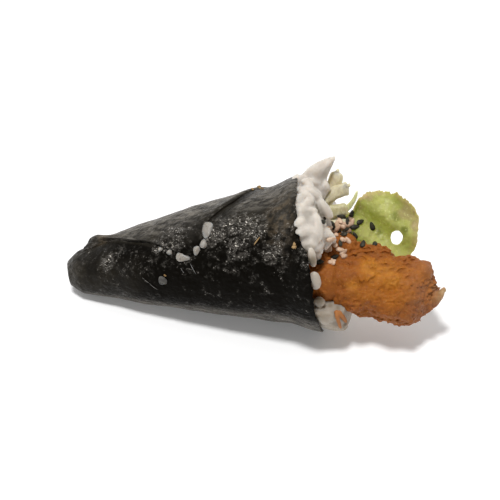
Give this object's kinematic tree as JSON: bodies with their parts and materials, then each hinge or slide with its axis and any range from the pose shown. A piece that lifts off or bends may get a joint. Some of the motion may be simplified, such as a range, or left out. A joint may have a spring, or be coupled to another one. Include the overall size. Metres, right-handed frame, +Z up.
{
  "type": "temaki hand roll",
  "caption": "Hand roll lying on its side: a nori cone round rice, with a breaded fillet, a lettuce leaf and pale shreds standing out of its open end.",
  "frame": {"origin": "on the surface it lies on, below the middle of the roll's bounding box", "axes": "+X from the closed tip towards the open end and the fillet's far end, +Y away from the side that shows the lap's corner, +Z up from the surface the roll lies on"},
  "size_m": [0.1432, 0.0592, 0.0588],
  "materials": {
    "nori": "dried seaweed, dark with a broken sheen",
    "rice": "cooked rice, moist",
    "crust": "deep-fried breadcrumbs, rough",
    "lettuce": "soft leaf, satin",
    "shred": "moist shreds, satin"
  },
  "bodies": {
    "root": {"nori_wrapper": "nori", "rice_heap": "rice", "fried_fillet": "crust", "crust_scrap": "crust", "lettuce_leaf": "lettuce", "shred_tall": "shred", "shred_fork": "shred", "shred_curl": "shred", "shred_broad": "shred", "shred_low": "shred"}
  },
  "joints": []
}
